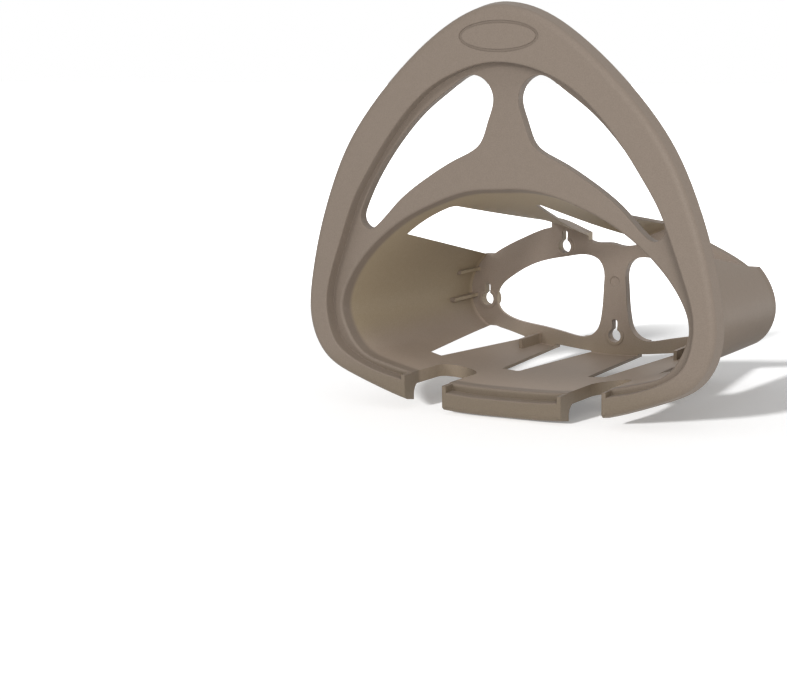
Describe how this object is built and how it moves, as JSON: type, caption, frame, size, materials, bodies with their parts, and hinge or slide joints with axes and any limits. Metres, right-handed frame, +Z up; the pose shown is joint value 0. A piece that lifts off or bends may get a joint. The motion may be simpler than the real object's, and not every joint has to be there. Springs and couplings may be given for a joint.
{
  "type": "hose hanger",
  "caption": "Moulded wall hanger for a garden hose: a tapered drum behind a tall leaf-shaped ring, with keyholes in its back plate.",
  "frame": {"origin": "at the base, under the middle of the hanger, half way between its front face and the wall", "axes": "+Z up, +Y towards the wall, -Y out to the user, +X to the right of someone facing it"},
  "size_m": [0.3188, 0.2084, 0.2899],
  "materials": {
    "hose_hanger": "fine moulded grain, matte taupe"
  },
  "bodies": {
    "root": {"hose_hanger": "hose_hanger"}
  },
  "joints": []
}
